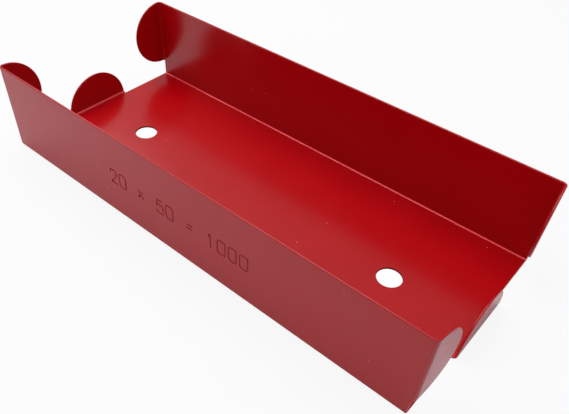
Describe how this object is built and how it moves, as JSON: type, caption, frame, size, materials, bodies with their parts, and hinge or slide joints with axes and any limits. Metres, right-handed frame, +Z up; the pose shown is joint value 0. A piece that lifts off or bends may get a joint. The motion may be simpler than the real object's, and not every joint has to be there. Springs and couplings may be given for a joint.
{
  "type": "manual coin counting tray",
  "caption": "Open folded sheet-metal tray that holds and counts rolls of coins lying across it, with rounded end ears, rounded floor tabs and round floor holes.",
  "frame": {"origin": "on the plane that the tray rests on, under the middle of the floor, midway between the two floor holes", "axes": "+X along the tray, from the left end to the right end as seen by someone who faces the stamped front wall; +Y across it, from the front wall to the rear wall; +Z up"},
  "size_m": [0.1957, 0.0842, 0.0365],
  "materials": {
    "red_paint": "satin"
  },
  "bodies": {
    "root": {"floor_panel": "red_paint", "front_wall": "red_paint", "rear_wall": "red_paint", "front_left_ear": "red_paint", "front_right_ear": "red_paint", "rear_left_ear": "red_paint", "rear_right_ear": "red_paint", "left_floor_tab": "red_paint", "right_floor_tab": "red_paint"}
  },
  "joints": []
}
